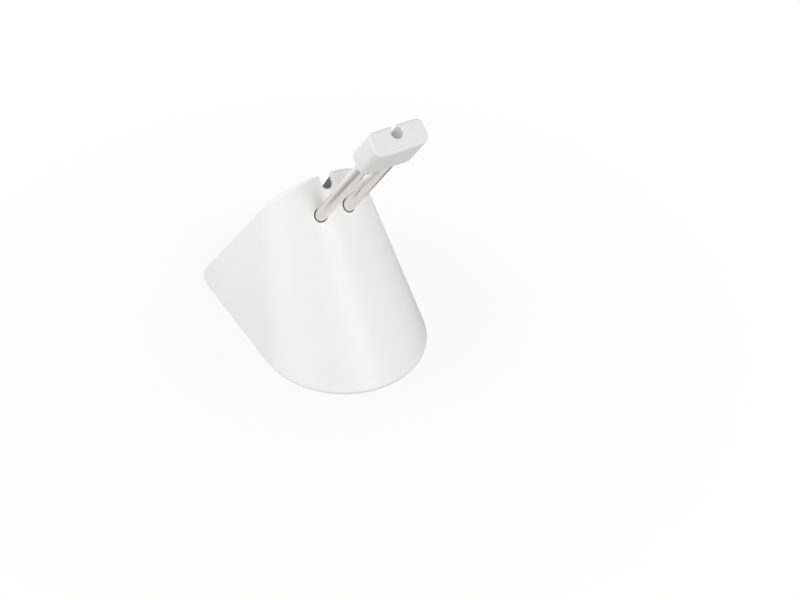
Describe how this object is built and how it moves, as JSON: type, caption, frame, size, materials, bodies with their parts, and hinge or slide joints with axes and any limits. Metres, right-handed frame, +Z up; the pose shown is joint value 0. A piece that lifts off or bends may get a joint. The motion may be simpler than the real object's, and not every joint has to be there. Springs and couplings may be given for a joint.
{
  "type": "mouse bungee",
  "caption": "Weighted hood with a sloping round nose that carries a rubber cable clip on steel rods, to hold a mouse cable up off the desk.",
  "frame": {"origin": "on the desk, on the underside of the anti-slip pad, in the middle of the hood's width and length", "axes": "+Z up, -Y towards the front, where the rods and the clip lean, +X across"},
  "size_m": [0.07, 0.113, 0.1283],
  "materials": {
    "hood_plastic": "satin white moulding",
    "base_plastic": "matt dark grey moulding",
    "clip_rubber": "soft white rubber, matt",
    "rod_steel": "brushed spring steel",
    "pad_rubber": "black anti-slip rubber",
    "ballast_iron": "plain casting",
    "clamp_nylon": "black moulded nylon",
    "screw_steel": "zinc-plated steel"
  },
  "bodies": {
    "root": {"hood": "hood_plastic", "rear_cover": "base_plastic", "base_plate": "base_plastic", "anti_slip_pad": "pad_rubber", "ballast_block": "ballast_iron", "ballast_screws": "screw_steel", "base_screws": "screw_steel", "left_rod": "rod_steel", "right_rod": "rod_steel", "rod_clamp": "clamp_nylon", "clamp_screws": "screw_steel", "cable_clip": "clip_rubber"}
  },
  "joints": []
}
